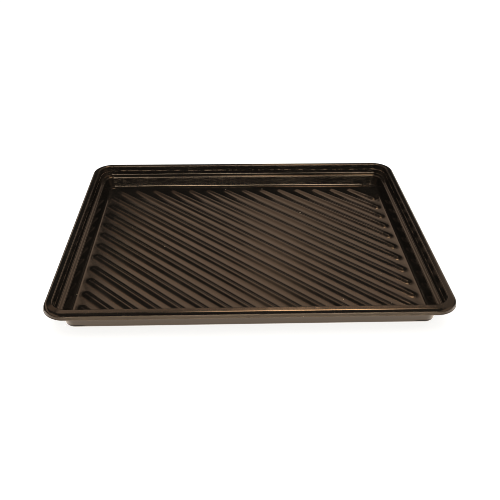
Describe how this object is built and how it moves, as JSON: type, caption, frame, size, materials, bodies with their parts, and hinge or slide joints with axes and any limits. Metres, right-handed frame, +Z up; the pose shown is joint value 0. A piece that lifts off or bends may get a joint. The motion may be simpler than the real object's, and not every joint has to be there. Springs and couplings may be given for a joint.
{
  "type": "oil drain pan",
  "caption": "Shallow rectangular plastic drip pan with a rolled rim, stepped walls and a flat floor with raised diagonal beads, formed in one piece.",
  "frame": {"origin": "centre of the face that the tray rests on", "axes": "+X along the long side, +Y to the back, +Z up out of the tray's open top"},
  "size_m": [0.6096, 0.508, 0.0444],
  "materials": {
    "dark_plastic": "dark brown formed plastic sheet, satin gloss with a fine grain, light dust and scuffs"
  },
  "bodies": {
    "root": {"drip_tray": "dark_plastic"}
  },
  "joints": []
}
